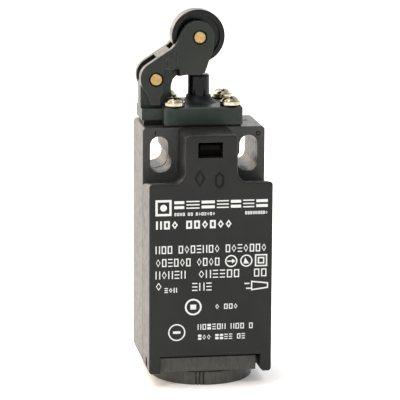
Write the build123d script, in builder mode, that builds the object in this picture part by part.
"""Compact position switch with a roller lever head, modelled as an assembly of separate pieces.

Millimetres, +Z up, front of the switch faces -Y.
Heights are drawn from a datum 3 mm under the case. The boss reaches boss_drop below the datum, so every
finished piece is raised by that much, and the origin is the centre of the boss's bottom face.
"""
from build123d import *
import os
from math import cos, radians, sin

os.makedirs("parts", exist_ok=True)

# ---------------------------------------------------------------- driving dimensions
body_width = 30.0
body_depth = 30.0
body_height = 58.5
boss_height = 3.0
boss_drop = 0.7
boss_diameter = 25.0
base_depth = 18.0
wall = 2.0

body_bottom = boss_height
body_top = body_bottom + body_height
front_y = -body_depth / 2
back_y = body_depth / 2
split_y = back_y - base_depth
half_width = body_width / 2

# front cover outline
neck_half = 6.4
shoulder_front = body_bottom + 47.0
shoulder_back = body_bottom + 45.2
neck_fillet = 2.5
edge_round = 0.5

# foot of the body: chin of the base between the two hinge legs of the cover
chin_front = front_y + 2.3
chin_top = body_bottom + 4.0
chin_left = -12.15
chin_right = 11.5
leg_inner = 12.25
notch_gap = 0.3
hinge_y = -10.0
hinge_z = body_bottom + 2.0
trunnion_radius = 1.2
trunnion_end = 14.4
hinge_clearance = 0.05
swing_clearance = 0.05

# cable entry, M20 x 1.5, modelled at its core diameter
entry_radius = 9.2

# mounting holes: a round hole and an upright slot run into each other in each ear
hole_spacing = 20.8
hole_radius = 2.45
hole_z = body_bottom + 50.1
slot_x = 11.0
slot_width = 4.4
slot_low = body_bottom + 47.5
slot_high = body_bottom + 56.4

# hollow of the base
cavity_half = 12.6
cavity_top = body_bottom + 43.5
cavity_back = 12.6
channel_half = 5.0
channel_back = 11.0
channel_top = body_top - 3.0

# latch window and latch tongue
window_width = 6.0
window_x = -0.3
window_low = body_bottom + 53.0
window_high = body_bottom + 56.75

# actuator head
gasket_thickness = 0.5
head_bottom = body_top + gasket_thickness
head_top = body_top + 4.8
head_width = 19.4
head_front = split_y + 0.2
head_back = back_y - 0.2
plunger_y = 6.0
screw_x = 6.9
screw_dy = 6.35
screw_radius = 1.3
screw_head_radius = 2.55
screw_length = 9.6
screw_head_height = 2.25

# plunger
plunger_radius = 2.7
plunger_top = body_bottom + 70.5
plunger_clearance = 0.06
flange_radius = 3.7
flange_low = 57.2
flange_high = 58.4
plunger_bottom = 54.2

# roller lever
lever_width = 10.0
lever_front = plunger_y - lever_width / 2
lever_back = plunger_y + lever_width / 2
cheek = 2.2
pivot_x = -11.15
pivot_z = body_bottom + 69.7
pin_radius = 1.5
roller_x = -0.45
roller_z = body_bottom + 79.9
roller_radius = 6.55
roller_width = 5.0
lug_width = 5.0
pin_clearance = 0.05

# contact block
block_half = 12.0
block_low = 14.5
block_top = 46.0
block_front = 0.0
plate_front = -2.0
pocket_half = 10.4
pocket_low = 16.5
pocket_top = 44.0
pocket_back = 10.4
slider_half_x = 2.0
slider_half_y = 2.8
stem_radius = 2.0
bridge_thickness = 0.8
bridge_half = 7.2
bridge_half_y = 1.6
contact_x = 6.0
tip_radius = 1.1
nc_bridge_z = 39.5
no_bridge_z = 27.5
stroke = 4.22
contact_gap = 0.05
terminal_x = 8.0
nc_terminal_z = 38.5
no_terminal_z = 25.0
terminal_plate = 0.8
clamp_thickness = 1.0
terminal_screw_radius = 1.6


def finish(piece, label):
    """Raise a finished piece to its place above the boss's bottom face, name it and write its file."""
    raised = piece.moved(Location((0, 0, boss_drop)))
    raised.label = label
    export_step(raised, f"parts/{label}.step")


def bell(inset, extra_front=0.0):
    """Solid with the outline of the front cover, drawn in by an inset on all sides but the foot."""
    side = half_width - inset
    neck = neck_half - inset
    front = front_y + extra_front
    ledge_slope = (shoulder_front - shoulder_back) / (split_y - front_y)
    ledge_front = shoulder_front - inset - ledge_slope * (front - front_y)
    ledge_back = shoulder_back - inset
    with BuildPart() as shape:
        with BuildSketch(Plane.YZ.offset(-side)):
            with BuildLine():
                Polyline((front, body_bottom), (split_y, body_bottom), (split_y, ledge_back),
                         (front, ledge_front), close=True)
            make_face()
        extrude(amount=2 * side)
        with BuildSketch(Plane.XZ.offset(-split_y)):
            with Locations((0, (body_bottom + body_top - inset) / 2)):
                Rectangle(2 * neck, body_top - inset - body_bottom)
        extrude(amount=split_y - front)
        corners = shape.edges().filter_by(
            lambda e: abs(abs(e.center().X) - neck) < 0.01 and ledge_back < e.center().Z < ledge_front)
        fillet(corners, neck_fillet + inset)
        tops = shape.edges().filter_by(Axis.Y).filter_by(
            lambda e: e.center().Z > body_top - inset - 0.1)
        fillet(tops, 1.3 if inset < 1 else 0.4)
        shoulders = shape.edges().filter_by(
            lambda e: abs(abs(e.center().X) - side) < 0.01 and ledge_back < e.center().Z < ledge_front
            and e.length > 5)
        fillet(shoulders, 0.9 if inset < 1 else 0.4)
    return shape.part


def coil_spring(center_x, center_y, low, high, coil_radius, wire_radius, turns):
    """Compression spring standing on +Z between two heights."""
    height = high - low - 2 * wire_radius
    with BuildPart() as spring:
        with BuildLine():
            path = Helix(pitch=height / turns, height=height, radius=coil_radius,
                         center=(center_x, center_y, low + wire_radius))
        with BuildSketch(Plane(origin=path @ 0, z_dir=path % 0)):
            Circle(wire_radius)
        sweep(path=path, is_frenet=True)
    return spring.part


# ---------------------------------------------------------------- base housing
with BuildPart() as base_housing:
    # body block behind the parting plane
    with BuildSketch(Plane.XZ.offset(-back_y)):
        with Locations((0, (body_bottom + body_top) / 2)):
            RectangleRounded(body_width, body_height, 0.9)
    extrude(amount=base_depth)
    # floor and chin that reach forward under the wiring space
    chin_middle = (chin_left + chin_right) / 2
    chin_width = chin_right - chin_left
    with BuildSketch(Plane.XY.offset(body_bottom)):
        with Locations((chin_middle, (chin_front + split_y) / 2)):
            Rectangle(chin_width, split_y - chin_front)
    extrude(amount=chin_top - body_bottom)
    # cable entry boss
    with BuildSketch(Plane.XY.offset(-boss_drop)):
        Circle(boss_diameter / 2)
    extrude(amount=body_bottom + boss_drop)
    # cavity for the contact block and the wires, and the plunger channel above it
    with BuildSketch(Plane.XZ.offset(-split_y)):
        with Locations((0, (chin_top + cavity_top) / 2)):
            Rectangle(2 * cavity_half, cavity_top - chin_top)
    extrude(amount=split_y - cavity_back, mode=Mode.SUBTRACT)
    with BuildSketch(Plane.XZ.offset(-split_y)):
        with Locations((0, (cavity_top + channel_top) / 2)):
            Rectangle(2 * channel_half, channel_top - cavity_top)
    extrude(amount=split_y - channel_back, mode=Mode.SUBTRACT)
    # raised lip behind the foot of the cover
    with BuildSketch(Plane.XY.offset(chin_top)):
        with Locations((chin_middle, chin_front + 0.7)):
            Rectangle(chin_width, 1.4)
    extrude(amount=2.0)
    # side ribs that hold the contact block, joined to the walls
    rib = cavity_half - block_half
    with BuildSketch(Plane.XY.offset(block_low + 3)):
        with Locations((-cavity_half + rib / 2, 6), (cavity_half - rib / 2, 6)):
            Rectangle(rib, 3)
    extrude(amount=block_top - block_low - 6)
    # hinge trunnions on the sides of the chin
    with BuildSketch(Plane.YZ.offset(-trunnion_end)):
        with Locations((hinge_y, hinge_z)):
            Circle(trunnion_radius)
    extrude(amount=2 * trunnion_end)
    # latch tongue that reaches into the window of the cover
    with BuildSketch(Plane.YZ.offset(window_x - window_width * 0.4)):
        with BuildLine():
            Polyline((split_y + 0.5, channel_top - 0.5), (-14.2, channel_top - 0.5), (-14.2, 58.9),
                     (-13.4, 59.3), (-12.6, 58.9), (split_y + 0.5, 59.2), close=True)
        make_face()
    extrude(amount=window_width * 0.8)
    # cable entry
    with BuildSketch(Plane.XY.offset(-boss_drop)):
        Circle(entry_radius)
    extrude(amount=chin_top + 0.5 + boss_drop, mode=Mode.SUBTRACT)
    # plunger bore in the roof
    with BuildSketch(Plane.XY.offset(channel_top - 0.1)):
        with Locations((0, plunger_y)):
            Circle(plunger_radius + plunger_clearance)
    extrude(amount=4, mode=Mode.SUBTRACT)
    # bores for the head screws
    with BuildSketch(Plane.XY.offset(head_top - screw_length)):
        with Locations((0, plunger_y)):
            with GridLocations(2 * screw_x, 2 * screw_dy, 2, 2):
                Circle(screw_radius)
    extrude(amount=screw_length, mode=Mode.SUBTRACT)
    # mounting slots through both ears
    with BuildSketch(Plane.XZ.offset(-back_y)):
        with Locations((-slot_x, (slot_low + slot_high) / 2), (slot_x, (slot_low + slot_high) / 2)):
            SlotOverall(slot_high - slot_low, slot_width, rotation=90)
        with Locations((-hole_spacing / 2, hole_z), (hole_spacing / 2, hole_z)):
            Circle(hole_radius)
    extrude(amount=base_depth, mode=Mode.SUBTRACT)
    # groove inside the left hole
    with BuildSketch(Plane.XZ.offset(-4.4)):
        with Locations((-hole_spacing / 2, hole_z)):
            Circle(hole_radius + 0.4)
    extrude(amount=0.6, mode=Mode.SUBTRACT)
    # rounded rear edges and front lower edge of the chin
    rear = base_housing.faces().filter_by(Axis.Y).sort_by(Axis.Y)[-1]
    fillet(rear.outer_wire().edges(), 0.8)
    foot = base_housing.edges().filter_by(GeomType.CIRCLE).filter_by(
        lambda e: abs(e.center().Z + boss_drop) < 0.01 and abs(e.radius - boss_diameter / 2) < 0.01)
    chamfer(foot, 0.25)
    mouth = base_housing.edges().filter_by(GeomType.CIRCLE).filter_by(
        lambda e: abs(e.center().Z + boss_drop) < 0.01 and abs(e.radius - entry_radius) < 0.01)
    chamfer(mouth, 0.7)
    # undercut round the boss where it meets the case, and three upright grooves in its front
    with BuildSketch(Plane.XY.offset(body_bottom - 0.4)):
        Circle(boss_diameter / 2 + 0.1)
        Circle(boss_diameter / 2 - 0.5, mode=Mode.SUBTRACT)
    extrude(amount=0.4, mode=Mode.SUBTRACT)
    with BuildSketch(Plane.XY.offset(-boss_drop)):
        with Locations((-3.1, -12.2), (-2.2, -12.35), (-1.3, -12.45)):
            Rectangle(0.4, 1.2)
    extrude(amount=body_bottom + boss_drop, mode=Mode.SUBTRACT)
finish(base_housing.part, "base_housing")

# ---------------------------------------------------------------- front cover
cover_outside = bell(0)
cover_inside = bell(wall, wall)
seal_outside = bell(0.5, 6.0)
seal_inside = bell(1.3, 6.0)
seal_depth = 0.8

with BuildPart() as cover_gasket:
    add(seal_outside)
    add(seal_inside, mode=Mode.SUBTRACT)
    with BuildSketch(Plane.XZ.offset(-split_y)):
        with Locations((0, (chin_top + body_top) / 2 + 2.5)):
            Rectangle(body_width, body_height)
    extrude(amount=seal_depth, mode=Mode.INTERSECT)

with BuildPart() as front_cover:
    add(cover_outside)
    add(cover_inside, mode=Mode.SUBTRACT)
    # thick hinge legs either side of the chin
    with BuildSketch(Plane.YZ.offset(leg_inner)):
        with Locations(((front_y + split_y) / 2, (body_bottom + 10.0) / 2)):
            Rectangle(split_y - front_y, 10.0 - body_bottom)
    extrude(amount=wall)
    mirror(about=Plane.YZ)
    # notch for the chin
    with BuildSketch(Plane.XY.offset(body_bottom)):
        with Locations((0, (front_y + split_y) / 2)):
            Rectangle(2 * leg_inner, split_y - front_y)
    extrude(amount=chin_top + notch_gap - body_bottom, mode=Mode.SUBTRACT)
    # hinge bores in the legs
    with BuildSketch(Plane.YZ.offset(-half_width)):
        with Locations((hinge_y, hinge_z)):
            Circle(trunnion_radius + hinge_clearance)
    extrude(amount=body_width, mode=Mode.SUBTRACT)
    # rear lower corners of the legs, rounded about the hinge axis
    swing = split_y - hinge_y - swing_clearance
    with BuildSketch(Plane.YZ.offset(-half_width)):
        with Locations((split_y - 0.5, (body_bottom + hinge_z) / 2)):
            Rectangle(1.0, hinge_z - body_bottom)
        with Locations((hinge_y, hinge_z)):
            Circle(swing, mode=Mode.SUBTRACT)
    extrude(amount=body_width, mode=Mode.SUBTRACT)
    # latch window
    with BuildSketch(Plane.XZ.offset(-front_y)):
        with Locations((window_x, (window_low + window_high) / 2)):
            Rectangle(window_width, window_high - window_low)
    extrude(amount=-wall, mode=Mode.SUBTRACT)
    # rounded outer feet of the legs, and a bevel inside the right one
    outer_feet = front_cover.edges().filter_by(Axis.Y).filter_by(
        lambda e: abs(abs(e.center().X) - half_width) < 0.01 and abs(e.center().Z - body_bottom) < 0.01)
    fillet(outer_feet, 0.8)
    inner_foot = front_cover.edges().filter_by(Axis.Y).filter_by(
        lambda e: abs(e.center().X - leg_inner) < 0.01 and abs(e.center().Z - body_bottom) < 0.01)
    chamfer(inner_foot, 0.7)
    # groove for the gasket
    add(cover_gasket.part, mode=Mode.SUBTRACT)
    # softened front edge
    front_face = front_cover.faces().filter_by(Axis.Y).sort_by(Axis.Y)[0]
    fillet(front_face.outer_wire().edges(), edge_round)
finish(front_cover.part, "front_cover")
finish(cover_gasket.part, "cover_gasket")

# ---------------------------------------------------------------- actuator head
lug_front = plunger_y - lug_width / 2
lug_left = -14.7
lug_round = 3.6
lug_step = lug_front + 2.9
bracket_low = head_bottom + 0.8
bracket_top = head_top - 0.7
post_top = body_bottom + 71.55
post_right = -5.4

with BuildPart() as head_gasket:
    with BuildSketch(Plane.XY.offset(body_top)):
        with Locations((0, plunger_y)):
            RectangleRounded(head_width - 0.8, head_back - head_front - 0.8, 0.8)
            Circle(plunger_radius + 0.6, mode=Mode.SUBTRACT)
            with GridLocations(2 * screw_x, 2 * screw_dy, 2, 2):
                Circle(screw_radius, mode=Mode.SUBTRACT)
    extrude(amount=gasket_thickness)
finish(head_gasket.part, "head_gasket")

seat_radius = 4.4
seat_depth = 1.4
with BuildPart() as actuator_head:
    with BuildSketch(Plane.XY.offset(head_bottom)):
        with Locations((0, plunger_y)):
            RectangleRounded(head_width, head_back - head_front, 0.9)
    extrude(amount=head_top - head_bottom)
    chamfer(actuator_head.faces().sort_by(Axis.Z)[-1].outer_wire().edges(), 0.3)
    # bracket floor that overhangs to the left
    with BuildSketch(Plane.XY.offset(bracket_low)):
        with Locations(((lug_left - 9.0) / 2, plunger_y)):
            Rectangle(-9.0 - lug_left, lever_width)
    extrude(amount=bracket_top - bracket_low)
    # pivot lug with the stop post at its right; the back half of the lug is smaller
    for lug_y, depth, lug_radius in ((lug_front, lug_step - lug_front, lug_round),
                                     (lug_step, lug_front + lug_width - lug_step, lug_round - 0.9)):
        lug_start = (pivot_x - lug_radius * cos(radians(10)), pivot_z + lug_radius * sin(radians(10)))
        lug_end = (pivot_x + lug_radius * cos(radians(28)), pivot_z + lug_radius * sin(radians(28)))
        with BuildSketch(Plane.XZ.offset(-lug_y)):
            with BuildLine():
                Polyline((lug_left, bracket_top - 0.5), (lug_left, pivot_z - 1.0), lug_start)
                ThreePointArc(lug_start, (pivot_x, pivot_z + lug_radius), lug_end)
                Polyline(lug_end, (-7.9, post_top), (post_right, post_top), (post_right, post_top - 1.2))
                ThreePointArc((post_right, post_top - 1.2), (-6.6, post_top - 2.2), (-7.2, post_top - 3.8))
                Polyline((-7.2, post_top - 3.8), (-7.2, bracket_top - 0.5), (lug_left, bracket_top - 0.5))
            make_face()
        extrude(amount=-depth)
    # step in the front of the stop post
    with BuildSketch(Plane.XZ.offset(-lug_front)):
        with Locations((-6.1, post_top - 1.0)):
            Rectangle(1.5, 3.0)
    extrude(amount=-0.8, mode=Mode.SUBTRACT)
    # bore for the lever's pivot pin
    with BuildSketch(Plane.XZ.offset(-lever_front)):
        with Locations((pivot_x, pivot_z)):
            Circle(pin_radius + pin_clearance)
    extrude(amount=-lever_width, mode=Mode.SUBTRACT)
    # plunger bore and the seat of its seal
    with BuildSketch(Plane.XY.offset(head_bottom)):
        with Locations((0, plunger_y)):
            Circle(plunger_radius + plunger_clearance)
    extrude(amount=head_top - head_bottom, mode=Mode.SUBTRACT)
    with BuildSketch(Plane.XY.offset(head_top - seat_depth)):
        with Locations((0, plunger_y)):
            Circle(seat_radius)
    extrude(amount=seat_depth, mode=Mode.SUBTRACT)
    # screw bores
    with BuildSketch(Plane.XY.offset(head_bottom)):
        with Locations((0, plunger_y)):
            with GridLocations(2 * screw_x, 2 * screw_dy, 2, 2):
                Circle(screw_radius)
    extrude(amount=head_top - head_bottom, mode=Mode.SUBTRACT)
finish(actuator_head.part, "actuator_head")


def pan_head_screw(radius, head_radius, head_height, length, slot_width=0.7):
    """Screw on +Z with its head's underside at zero: flanged pan head, cross slot, shank downwards."""
    flange_low_z = head_height * 0.14
    flange_high_z = head_height * 0.52
    with BuildPart() as screw:
        with BuildSketch(Plane.XZ):
            with BuildLine():
                Polyline((0, -length), (radius * 0.7, -length), (radius, -length + radius * 0.5),
                         (radius, 0), (head_radius * 0.8, 0), (head_radius * 0.8, flange_low_z),
                         (head_radius, flange_low_z), (head_radius, flange_high_z),
                         (head_radius * 0.84, flange_high_z))
                RadiusArc((head_radius * 0.84, flange_high_z), (head_radius * 0.4, head_height),
                          -head_radius * 0.6)
                Polyline((head_radius * 0.4, head_height), (0, head_height), (0, -length))
            make_face()
        revolve(axis=Axis.Z)
        with BuildSketch(Plane.XY.offset(head_height)):
            Rectangle(head_radius * 1.35, slot_width)
            Rectangle(slot_width, head_radius * 1.35)
        extrude(amount=-head_height * 0.5, mode=Mode.SUBTRACT)
    return screw.part


head_screw = pan_head_screw(screw_radius, screw_head_radius, screw_head_height, screw_length)
with BuildPart() as head_screws:
    with Locations((0, plunger_y, head_top)):
        with GridLocations(2 * screw_x, 2 * screw_dy, 2, 2):
            add(head_screw)
finish(head_screws.part, "head_screws")

# ---------------------------------------------------------------- plunger and its seal and spring
with BuildPart() as plunger:
    with BuildSketch(Plane.XZ.offset(-plunger_y)):
        with BuildLine():
            Polyline((0, plunger_bottom), (stem_radius, plunger_bottom), (stem_radius, flange_low),
                     (flange_radius, flange_low), (flange_radius, flange_high),
                     (plunger_radius, flange_high), (plunger_radius, plunger_top - 0.7))
            RadiusArc((plunger_radius, plunger_top - 0.7), (plunger_radius - 0.7, plunger_top), -0.7)
            Polyline((plunger_radius - 0.7, plunger_top), (0, plunger_top), (0, plunger_bottom))
        make_face()
    revolve(axis=Axis((0, plunger_y, 0), (0, 0, 1)))
finish(plunger.part, "plunger")

seal_top = head_top + 1.9
with BuildPart() as plunger_seal:
    with BuildSketch(Plane.XZ.offset(-plunger_y)):
        seal_bore = plunger_radius + plunger_clearance
        with BuildLine():
            Polyline((seal_bore, head_top - seat_depth), (seat_radius, head_top - seat_depth),
                     (seat_radius, head_top))
            ThreePointArc((seat_radius, head_top), (3.45, head_top + 0.7), (3.05, seal_top))
            Polyline((3.05, seal_top), (seal_bore, seal_top), (seal_bore, head_top - seat_depth))
        make_face()
    revolve(axis=Axis((0, plunger_y, 0), (0, 0, 1)))
finish(plunger_seal.part, "plunger_seal")

plunger_spring = coil_spring(0, plunger_y, block_top, flange_low, 2.9, 0.3, 6)
finish(plunger_spring, "plunger_spring")

# ---------------------------------------------------------------- roller lever
nose_z = body_bottom + 70.65
pivot_round = half_width + pivot_x
notch_top = body_bottom + 72.25
arm_start = (-13.3, 76.35)
spine_low = (-10.8, 78.0)
spine_high = (-7.75, 80.0)
arm_end = (-7.3, 80.3)


def cheek_outline():
    """Outline of one lever cheek, drawn in the XZ plane."""
    crown = (roller_x, roller_z + 4.0)
    crown_right = (3.1, roller_z + 0.6)
    crown_left = (-3.9, roller_z + 2.75)
    pivot_left = (pivot_x - pivot_round, pivot_z + 0.2)
    pivot_low = (pivot_x - pivot_round * 0.86, pivot_z - pivot_round * 0.51)
    with BuildLine() as line:
        Polyline((-0.6, nose_z), (0.8, nose_z + 0.6), (1.3, 75.6), (1.8, 77.2), (2.95, 80.0), crown_right)
        ThreePointArc(crown_right, crown, crown_left)
        Polyline(crown_left, (-4.85, 84.3), (-6.15, 81.6), arm_end, arm_start)
        ThreePointArc(arm_start, (-14.5, 75.0), pivot_left)
        ThreePointArc(pivot_left, (pivot_x - pivot_round * 0.975, pivot_z - pivot_round * 0.2), pivot_low)
        Polyline(pivot_low, (-13.0, 68.1), (-12.5, 66.5), (-10.2, 66.5), (-10.15, 68.6), (-9.5, 69.2),
                 (-9.4, notch_top), (-5.4, notch_top), (-5.4, nose_z - 0.15), (-3.7, nose_z + 0.15),
                 (-0.6, nose_z))
    return line


with BuildPart() as roller_lever:
    for front in (lever_front, lever_back - cheek):
        with BuildSketch(Plane.XZ.offset(-front)):
            add(cheek_outline().line)
            make_face()
        extrude(amount=-cheek)
    # ribs on the outside of both cheeks, left standing between shallow grooves
    rib_grooves = ((-8.5, 78.4), (-7.4, 79.2), (-6.3, 80.0))
    for face in (lever_front, lever_back - 0.25):
        with BuildSketch(Plane.XZ.offset(-face)):
            for groove_x, groove_top in rib_grooves:
                with Locations((groove_x, (notch_top + 0.35 + groove_top) / 2)):
                    Rectangle(0.3, groove_top - notch_top - 0.35)
        extrude(amount=-0.25, mode=Mode.SUBTRACT)
    # spine between the cheeks along the upper edge
    with BuildSketch(Plane.XZ.offset(-lever_front - cheek)):
        with BuildLine():
            spine_drop = (0.8, -1.25)
            Polyline(spine_low, spine_high, (spine_high[0] + spine_drop[0], spine_high[1] + spine_drop[1]),
                     (spine_low[0] + spine_drop[0], spine_low[1] + spine_drop[1]), close=True)
        make_face()
    extrude(amount=-(lever_width - 2 * cheek))
    # nose block between the cheeks, which presses the plunger
    with BuildSketch(Plane.XZ.offset(-lever_front - cheek)):
        with BuildLine():
            Polyline((-3.6, nose_z + 0.15), (-0.6, nose_z), (0.8, nose_z + 0.6), (1.2, 75.6),
                     (-3.6, 75.6), close=True)
        make_face()
    extrude(amount=-(lever_width - 2 * cheek))
    # bores for both pins, countersunk a little on the outside
    with BuildSketch(Plane.XZ.offset(-lever_front)):
        with Locations((pivot_x, pivot_z), (roller_x, roller_z)):
            Circle(pin_radius)
    extrude(amount=-lever_width, mode=Mode.SUBTRACT)
    bore_mouths = roller_lever.edges().filter_by(GeomType.CIRCLE).filter_by(
        lambda e: abs(e.radius - pin_radius) < 0.01
        and (abs(e.center().Y - lever_front) < 0.01 or abs(e.center().Y - lever_back) < 0.01))
    chamfer(bore_mouths, 0.2)
finish(roller_lever.part, "roller_lever")


def cross_pin(x, z, length):
    """Pin across the lever, centred on the lever's middle plane, with chamfered ends."""
    with BuildPart() as pin:
        with BuildSketch(Plane.XZ.offset(-(plunger_y - length / 2))):
            with Locations((x, z)):
                Circle(pin_radius)
        extrude(amount=-length)
        chamfer(pin.edges().filter_by(GeomType.CIRCLE), 0.2)
    return pin.part


finish(cross_pin(pivot_x, pivot_z, lever_width + 0.2), "lever_pin")
finish(cross_pin(roller_x, roller_z, lever_width + 0.2), "roller_pin")

rim = 1.2
web_recess = 1.2
with BuildPart() as roller:
    with BuildSketch(Plane.XZ.offset(-(plunger_y - roller_width / 2))):
        with Locations((roller_x, roller_z)):
            Circle(roller_radius)
    extrude(amount=-roller_width)
    fillet(roller.edges().filter_by(GeomType.CIRCLE), 0.3)
    for face_y, depth in ((plunger_y - roller_width / 2, -web_recess), (plunger_y + roller_width / 2, web_recess)):
        with BuildSketch(Plane.XZ.offset(-face_y)):
            with Locations((roller_x, roller_z)):
                Circle(roller_radius - rim)
                Circle(2.9, mode=Mode.SUBTRACT)
        extrude(amount=depth, mode=Mode.SUBTRACT)
    with BuildSketch(Plane.XZ.offset(-(plunger_y - roller_width / 2))):
        with Locations((roller_x, roller_z)):
            Circle(pin_radius + pin_clearance)
    extrude(amount=-roller_width, mode=Mode.SUBTRACT)
finish(roller.part, "roller")

# ---------------------------------------------------------------- contact block
screw_bore = terminal_screw_radius + 0.3
strip_half = 1.6
nc_strip_z = nc_bridge_z + bridge_thickness + 0.5 + contact_gap + 0.6
no_strip_z = no_bridge_z - 0.5 - stroke - contact_gap - 0.6 - terminal_plate
tie_x = 9.4
tie_z = 31.8
tie_radius = 0.9

with BuildPart() as contact_block:
    with BuildSketch(Plane.XZ.offset(-cavity_back)):
        with Locations((0, (block_low + block_top) / 2)):
            Rectangle(2 * block_half, block_top - block_low)
    extrude(amount=cavity_back - block_front)
    with BuildSketch(Plane.XZ.offset(-block_front)):
        with Locations((0, (pocket_low + pocket_top) / 2)):
            Rectangle(2 * pocket_half, pocket_top - pocket_low)
    extrude(amount=-(pocket_back - block_front), mode=Mode.SUBTRACT)
    # rail behind the slider
    with BuildSketch(Plane.XY.offset(pocket_low)):
        with Locations((0, (pocket_back + plunger_y + slider_half_y + 0.05) / 2)):
            Rectangle(3.2, pocket_back - plunger_y - slider_half_y - 0.05)
    extrude(amount=pocket_top - pocket_low)
    # posts for the tie screws
    with BuildSketch(Plane.XZ.offset(-pocket_back)):
        with Locations((-tie_x, tie_z), (tie_x, tie_z)):
            Rectangle(2.4, 3.4)
    extrude(amount=pocket_back - block_front)
    with BuildSketch(Plane.XZ.offset(-block_front)):
        with Locations((-tie_x, tie_z), (tie_x, tie_z)):
            Circle(tie_radius)
    extrude(amount=-6, mode=Mode.SUBTRACT)
    # stem bore
    with BuildSketch(Plane.XY.offset(pocket_top - 0.1)):
        with Locations((0, plunger_y)):
            Circle(stem_radius + 0.05)
    extrude(amount=3, mode=Mode.SUBTRACT)
finish(contact_block.part, "contact_block")

with BuildPart() as contact_block_front:
    with BuildSketch(Plane.XZ.offset(-block_front)):
        with Locations((0, (block_low + block_top) / 2)):
            Rectangle(2 * block_half, block_top - block_low)
    extrude(amount=block_front - plate_front)
    # barrier ribs between the terminals
    with BuildSketch(Plane.XZ.offset(-plate_front)):
        with Locations((0, (block_low + block_top) / 2)):
            Rectangle(1.6, block_top - block_low)
        with Locations((-5.2, tie_z), (5.2, tie_z)):
            Rectangle(4.0, 1.4)
    extrude(amount=5.0)
    # rail in front of the slider
    with BuildSketch(Plane.XY.offset(pocket_low + 0.5)):
        with Locations((0, (block_front + plunger_y - slider_half_y - 0.05) / 2)):
            Rectangle(3.2, plunger_y - slider_half_y - 0.05 - block_front)
    extrude(amount=pocket_top - pocket_low - 1.0)
    # bores for terminal screws, tie screws and slots for the contact strips
    with BuildSketch(Plane.XZ.offset(-block_front)):
        with Locations((-terminal_x, nc_terminal_z), (terminal_x, nc_terminal_z),
                       (-terminal_x, no_terminal_z), (terminal_x, no_terminal_z)):
            Circle(screw_bore)
        with Locations((-tie_x, tie_z), (tie_x, tie_z)):
            Circle(tie_radius)
        for strip_z in (nc_strip_z, no_strip_z):
            with Locations((-contact_x, strip_z + terminal_plate / 2), (contact_x, strip_z + terminal_plate / 2)):
                Rectangle(2 * strip_half, terminal_plate)
    extrude(amount=block_front - plate_front, mode=Mode.SUBTRACT)
finish(contact_block_front.part, "contact_block_front")


def screw_facing_front(screw, x, y, z):
    """A +Z screw turned to face the front, with its head's underside at the given place."""
    return screw.moved(Location((x, y, z), (90, 0, 0)))


tie_screw = pan_head_screw(tie_radius, 1.6, 1.0, 7.0, 0.5)
with BuildPart() as contact_block_screws:
    add(screw_facing_front(tie_screw, -tie_x, plate_front, tie_z))
    add(screw_facing_front(tie_screw, tie_x, plate_front, tie_z))
finish(contact_block_screws.part, "contact_block_screws")


def fixed_contacts(strip_z, screw_z):
    """Pair of bent strips, each with a vertical terminal plate at the front of the block."""
    plate_low = min(strip_z, screw_z - 3.3)
    plate_high = max(strip_z + terminal_plate, screw_z + 3.3)
    with BuildPart() as pair:
        for side in (-1, 1):
            with BuildSketch(Plane.XZ.offset(-plate_front)):
                with Locations((side * 7.8, (plate_low + plate_high) / 2)):
                    Rectangle(6.8, plate_high - plate_low)
                with Locations((side * terminal_x, screw_z)):
                    Circle(terminal_screw_radius, mode=Mode.SUBTRACT)
            extrude(amount=terminal_plate)
            with BuildSketch(Plane.XY.offset(strip_z)):
                with Locations((side * contact_x, (plate_front + 8.2) / 2)):
                    Rectangle(2 * strip_half, 8.2 - plate_front)
            extrude(amount=terminal_plate)
    return pair.part


finish(fixed_contacts(nc_strip_z, nc_terminal_z), "nc_fixed_contacts")
finish(fixed_contacts(no_strip_z, no_terminal_z), "no_fixed_contacts")


def tips(low, high):
    """Pair of silver contact tips between two heights."""
    with BuildPart() as pair:
        with BuildSketch(Plane.XY.offset(low)):
            with Locations((-contact_x, plunger_y), (contact_x, plunger_y)):
                Circle(tip_radius)
        extrude(amount=high - low)
    return pair.part


nc_tip_face = nc_bridge_z + bridge_thickness + 0.5
no_tip_face = no_bridge_z - 0.5
finish(tips(nc_tip_face + contact_gap, nc_strip_z), "nc_fixed_tips")
finish(tips(no_strip_z + terminal_plate, no_tip_face - stroke - contact_gap), "no_fixed_tips")


def bridge(low):
    """Moving contact bridge, a flat strip across the slider."""
    with BuildPart() as strip:
        with BuildSketch(Plane.XY.offset(low)):
            with Locations((0, plunger_y)):
                RectangleRounded(2 * bridge_half, 2 * bridge_half_y, 0.6)
        extrude(amount=bridge_thickness)
    return strip.part


finish(bridge(nc_bridge_z), "nc_bridge")
finish(bridge(no_bridge_z), "no_bridge")
finish(tips(nc_bridge_z + bridge_thickness, nc_tip_face), "nc_bridge_tips")
finish(tips(no_tip_face, no_bridge_z), "no_bridge_tips")

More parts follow.
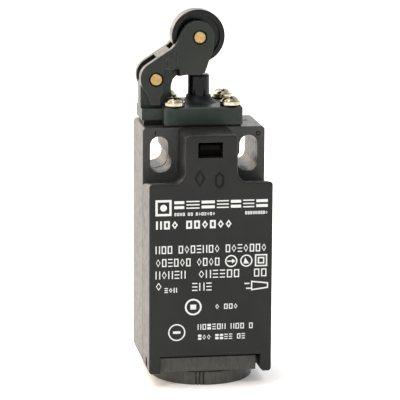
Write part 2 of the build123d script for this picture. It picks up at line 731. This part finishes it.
# slider that carries both bridges in windows
nc_window = (34.5, nc_bridge_z + bridge_thickness)
no_window = (no_bridge_z, 33.3)
slider_low = 26.2
slider_top = 42.6
slider_stem_top = plunger_bottom - 0.05
with BuildPart() as contact_slider:
    with BuildSketch(Plane.XY.offset(slider_low)):
        with Locations((0, plunger_y)):
            Rectangle(2 * slider_half_x, 2 * slider_half_y)
    extrude(amount=slider_top - slider_low)
    with BuildSketch(Plane.XY.offset(slider_top)):
        with Locations((0, plunger_y)):
            Circle(stem_radius - 0.01)
    extrude(amount=slider_stem_top - slider_top)
    with BuildSketch(Plane.XY.offset(slider_low - 5.4)):
        with Locations((0, plunger_y)):
            Circle(1.3)
    extrude(amount=5.4)
    with BuildSketch(Plane.YZ.offset(-slider_half_x)):
        for low, high in (nc_window, no_window):
            with Locations((plunger_y, (low + high) / 2)):
                Rectangle(2 * bridge_half_y, high - low)
    extrude(amount=2 * slider_half_x, mode=Mode.SUBTRACT)
finish(contact_slider.part, "contact_slider")

finish(coil_spring(0, plunger_y, nc_window[0], nc_bridge_z, 1.1, 0.18, 5), "nc_contact_spring")
finish(coil_spring(0, plunger_y, no_bridge_z + bridge_thickness, no_window[1], 1.1, 0.18, 5),
       "no_contact_spring")
finish(coil_spring(0, plunger_y, pocket_low, slider_low, 1.85, 0.25, 6), "slider_spring")

# terminal screws and clamp plates
clamp_y = plate_front - terminal_plate
terminal_places = [(side * terminal_x, z) for z in (nc_terminal_z, no_terminal_z) for side in (-1, 1)]
with BuildPart() as terminal_clamps:
    with BuildSketch(Plane.XZ.offset(-clamp_y)):
        with Locations(*terminal_places):
            RectangleRounded(6.2, 6.2, 0.5)
            Circle(terminal_screw_radius + 0.1, mode=Mode.SUBTRACT)
    extrude(amount=clamp_thickness)
finish(terminal_clamps.part, "terminal_clamps")

terminal_screw = pan_head_screw(terminal_screw_radius, 2.9, 2.0, 5.6, 0.9)
with BuildPart() as terminal_screws:
    for x, z in terminal_places:
        add(screw_facing_front(terminal_screw, x, clamp_y - clamp_thickness, z))
finish(terminal_screws.part, "terminal_screws")
